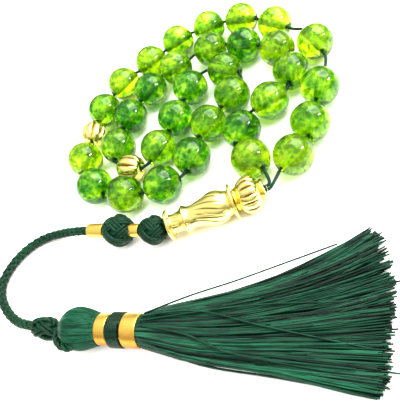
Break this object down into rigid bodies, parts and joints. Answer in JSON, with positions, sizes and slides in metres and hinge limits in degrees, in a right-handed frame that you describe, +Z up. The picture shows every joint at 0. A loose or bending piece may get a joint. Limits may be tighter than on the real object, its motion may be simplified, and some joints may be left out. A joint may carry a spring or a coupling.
{
  "type": "misbaha prayer beads",
  "caption": "Misbaha prayer beads of green crackle glass with gold spacers and imam, a braided cord and a dark green silk tassel.",
  "frame": {"origin": "on the surface the beads lie on, under the middle of the layout without its cords", "axes": "+Z up from that surface, +X along the tassel towards its tips, +Y from the tassel towards the strand of beads"},
  "size_m": [0.0971, 0.1137, 0.01],
  "materials": {
    "green_glass": "clear peridot green crackle glass, polished",
    "polished_gold": "mirror polished gold plate",
    "satin_gold": "satin gold, slightly worn at the rims",
    "green_cord": "braided bottle green cord with a waxed sheen",
    "wrap_thread": "tightly wound very dark green thread",
    "tassel_silk": "silky teal green thread",
    "core_wood": "plain turned"
  },
  "bodies": {
    "strand": {"stringing_cord": "green_cord"},
    "tail": {"imam_cord_pair": "green_cord", "near_knot": "green_cord", "short_sleeve": "polished_gold", "mid_knot": "green_cord", "long_sleeve": "polished_gold", "braided_cord": "green_cord", "tassel_knot": "green_cord"},
    "imam": {"imam_body": "polished_gold"},
    "crown": {"imam_crown": "polished_gold"},
    "loop": {"tassel_loop": "green_cord"},
    "tassel": {"tassel_core_bead": "core_wood", "tassel_head": "tassel_silk", "upper_band": "satin_gold", "neck_wrap": "wrap_thread", "lower_band": "satin_gold", "tassel_skirt": "tassel_silk"},
    "bead_01_body": {"bead_01": "green_glass"},
    "bead_02_body": {"bead_02": "green_glass"},
    "bead_03_body": {"bead_03": "green_glass"},
    "bead_04_body": {"bead_04": "green_glass"},
    "bead_05_body": {"bead_05": "green_glass"},
    "bead_06_body": {"bead_06": "green_glass"},
    "bead_07_body": {"bead_07": "green_glass"},
    "bead_08_body": {"bead_08": "green_glass"},
    "bead_09_body": {"bead_09": "green_glass"},
    "bead_10_body": {"bead_10": "green_glass"},
    "bead_11_body": {"bead_11": "green_glass"},
    "bead_12_body": {"bead_12": "green_glass"},
    "bead_13_body": {"bead_13": "green_glass"},
    "bead_14_body": {"bead_14": "green_glass"},
    "bead_15_body": {"bead_15": "green_glass"},
    "bead_16_body": {"bead_16": "green_glass"},
    "bead_17_body": {"bead_17": "green_glass"},
    "bead_18_body": {"bead_18": "green_glass"},
    "bead_19_body": {"bead_19": "green_glass"},
    "bead_20_body": {"bead_20": "green_glass"},
    "bead_21_body": {"bead_21": "green_glass"},
    "bead_22_body": {"bead_22": "green_glass"},
    "bead_23_body": {"bead_23": "green_glass"},
    "bead_24_body": {"bead_24": "green_glass"},
    "bead_25_body": {"bead_25": "green_glass"},
    "bead_26_body": {"bead_26": "green_glass"},
    "bead_27_body": {"bead_27": "green_glass"},
    "bead_28_body": {"bead_28": "green_glass"},
    "bead_29_body": {"bead_29": "green_glass"},
    "bead_30_body": {"bead_30": "green_glass"},
    "bead_31_body": {"bead_31": "green_glass"},
    "bead_32_body": {"bead_32": "green_glass"},
    "bead_33_body": {"bead_33": "green_glass"},
    "spacer_1_body": {"spacer_1": "polished_gold"},
    "spacer_2_body": {"spacer_2": "polished_gold"}
  },
  "joints": [
    {"name": "tail_swing", "type": "hinge", "parent": "strand", "child": "tail", "pos_m": [0.0173, -0.0112, 0.0048], "axis": [0, 0, 1], "range_deg": [0, 12]},
    {"name": "imam_turn", "type": "hinge", "parent": "tail", "child": "imam", "pos_m": [0.00223, -0.01614, 0.0045], "axis": [0.9511, 0.309, 0], "continuous": true},
    {"name": "crown_turn", "type": "hinge", "parent": "tail", "child": "crown", "pos_m": [0.0127, -0.01274, 0.0045], "axis": [0.9511, 0.309, 0], "continuous": true},
    {"name": "loop_swing", "type": "hinge", "parent": "tail", "child": "loop", "pos_m": [-0.03119, -0.04419, 0.0049], "axis": [0, 0, 1], "range_deg": [-8, 8]},
    {"name": "tassel_lift", "type": "hinge", "parent": "loop", "child": "tassel", "pos_m": [-0.0253, -0.0445, 0.0059], "axis": [-0.0523, -0.9986, 0], "range_deg": [0, 45]},
    {"name": "bead_03_slide", "type": "slide", "parent": "strand", "child": "bead_03_body", "axis": [0.2252, 0.9743, 0], "range_m": [0, 0.0008]},
    {"name": "bead_04_slide", "type": "slide", "parent": "strand", "child": "bead_04_body", "axis": [-0.4017, 0.9158, 0], "range_m": [-0.0018, 0.0009]},
    {"name": "bead_05_slide", "type": "slide", "parent": "strand", "child": "bead_05_body", "axis": [-0.7913, 0.6114, 0], "range_m": [-0.0012, 0]},
    {"name": "bead_01_turn", "type": "hinge", "parent": "strand", "child": "bead_01_body", "pos_m": [0.023, -0.003, 0.005], "axis": [0.6256, 0.7802, 0], "continuous": true},
    {"name": "bead_02_turn", "type": "hinge", "parent": "strand", "child": "bead_02_body", "pos_m": [0.027, 0.0065, 0.005], "axis": [0.1253, 0.9921, 0], "continuous": true},
    {"name": "bead_06_turn", "type": "hinge", "parent": "strand", "child": "bead_06_body", "pos_m": [0.0065, 0.052, 0.005], "axis": [-0.9674, 0.2534, 0], "continuous": true},
    {"name": "bead_07_turn", "type": "hinge", "parent": "strand", "child": "bead_07_body", "pos_m": [-0.004, 0.052, 0.005], "axis": [-0.9857, -0.1683, 0], "continuous": true},
    {"name": "bead_08_turn", "type": "hinge", "parent": "strand", "child": "bead_08_body", "pos_m": [-0.014, 0.0485, 0.005], "axis": [-0.8166, -0.5772, 0], "continuous": true},
    {"name": "bead_09_turn", "type": "hinge", "parent": "strand", "child": "bead_09_body", "pos_m": [-0.022, 0.0415, 0.005], "axis": [-0.741, -0.6715, 0], "continuous": true},
    {"name": "bead_10_turn", "type": "hinge", "parent": "strand", "child": "bead_10_body", "pos_m": [-0.03, 0.034, 0.005], "axis": [-0.5812, -0.8137, 0], "continuous": true},
    {"name": "bead_11_turn", "type": "hinge", "parent": "strand", "child": "bead_11_body", "pos_m": [-0.0345, 0.024, 0.005], "axis": [-0.3315, -0.9435, 0], "continuous": true},
    {"name": "bead_12_turn", "type": "hinge", "parent": "strand", "child": "bead_12_body", "pos_m": [-0.0365, 0.0055, 0.005], "axis": [0.0937, -0.9956, 0], "continuous": true},
    {"name": "bead_13_turn", "type": "hinge", "parent": "strand", "child": "bead_13_body", "pos_m": [-0.031, -0.0045, 0.005], "axis": [0.7421, -0.6703, 0], "continuous": true},
    {"name": "bead_14_turn", "type": "hinge", "parent": "strand", "child": "bead_14_body", "pos_m": [-0.021, -0.0085, 0.005], "axis": [0.9926, -0.1211, 0], "continuous": true},
    {"name": "bead_15_turn", "type": "hinge", "parent": "strand", "child": "bead_15_body", "pos_m": [-0.0105, -0.007, 0.005], "axis": [0.9483, 0.3172, 0], "continuous": true},
    {"name": "bead_16_turn", "type": "hinge", "parent": "strand", "child": "bead_16_body", "pos_m": [-0.0035, 0.001, 0.005], "axis": [0.1664, 0.9861, 0], "continuous": true},
    {"name": "bead_17_turn", "type": "hinge", "parent": "strand", "child": "bead_17_body", "pos_m": [0, 0.0115, 0.005], "axis": [0.438, 0.899, 0], "continuous": true},
    {"name": "bead_18_turn", "type": "hinge", "parent": "strand", "child": "bead_18_body", "pos_m": [0.006, 0.0205, 0.005], "axis": [0.5555, 0.8315, 0], "continuous": true},
    {"name": "bead_19_turn", "type": "hinge", "parent": "strand", "child": "bead_19_body", "pos_m": [0.003, 0.031, 0.005], "axis": [-0.908, 0.4191, 0], "continuous": true},
    {"name": "bead_20_turn", "type": "hinge", "parent": "strand", "child": "bead_20_body", "pos_m": [-0.007, 0.0265, 0.005], "axis": [-0.3418, -0.9398, 0], "continuous": true},
    {"name": "bead_21_turn", "type": "hinge", "parent": "strand", "child": "bead_21_body", "pos_m": [-0.01, 0.0155, 0.005], "axis": [-0.2957, -0.9553, 0], "continuous": true},
    {"name": "bead_22_turn", "type": "hinge", "parent": "strand", "child": "bead_22_body", "pos_m": [-0.0135, 0.0055, 0.005], "axis": [-0.3814, -0.9244, 0], "continuous": true},
    {"name": "bead_23_turn", "type": "hinge", "parent": "strand", "child": "bead_23_body", "pos_m": [-0.0265, 0.0085, 0.005], "axis": [0.0735, 0.9973, 0], "continuous": true},
    {"name": "bead_24_turn", "type": "hinge", "parent": "strand", "child": "bead_24_body", "pos_m": [-0.025, 0.0195, 0.005], "axis": [0.3022, 0.9532, 0], "continuous": true},
    {"name": "bead_25_turn", "type": "hinge", "parent": "strand", "child": "bead_25_body", "pos_m": [-0.02, 0.029, 0.005], "axis": [0.5033, 0.8641, 0], "continuous": true},
    {"name": "bead_26_turn", "type": "hinge", "parent": "strand", "child": "bead_26_body", "pos_m": [-0.013, 0.0365, 0.005], "axis": [0.8613, 0.5081, 0], "continuous": true},
    {"name": "bead_27_turn", "type": "hinge", "parent": "strand", "child": "bead_27_body", "pos_m": [-0.0025, 0.0415, 0.005], "axis": [0.9864, 0.1644, 0], "continuous": true},
    {"name": "bead_28_turn", "type": "hinge", "parent": "strand", "child": "bead_28_body", "pos_m": [0.008, 0.04, 0.005], "axis": [0.9316, -0.3635, 0], "continuous": true},
    {"name": "bead_29_turn", "type": "hinge", "parent": "strand", "child": "bead_29_body", "pos_m": [0.018, 0.0355, 0.005], "axis": [0.809, -0.5879, 0], "continuous": true},
    {"name": "bead_30_turn", "type": "hinge", "parent": "strand", "child": "bead_30_body", "pos_m": [0.022, 0.0255, 0.005], "axis": [-0.0767, -0.9971, 0], "continuous": true},
    {"name": "bead_31_turn", "type": "hinge", "parent": "strand", "child": "bead_31_body", "pos_m": [0.0165, 0.016, 0.005], "axis": [-0.8641, -0.5034, 0], "continuous": true},
    {"name": "bead_32_turn", "type": "hinge", "parent": "strand", "child": "bead_32_body", "pos_m": [0.0095, 0.0075, 0.005], "axis": [-0.2113, -0.9774, 0], "continuous": true},
    {"name": "bead_33_turn", "type": "hinge", "parent": "strand", "child": "bead_33_body", "pos_m": [0.0125, -0.0025, 0.005], "axis": [0.6774, -0.7356, 0], "continuous": true},
    {"name": "spacer_1_turn", "type": "hinge", "parent": "strand", "child": "spacer_1_body", "pos_m": [-0.0365, 0.0155, 0.0042], "axis": [-0.0204, -0.9998, 0], "continuous": true},
    {"name": "spacer_2_turn", "type": "hinge", "parent": "strand", "child": "spacer_2_body", "pos_m": [-0.0214, 0.0006, 0.0042], "axis": [-0.9744, 0.2249, 0], "continuous": true}
  ]
}
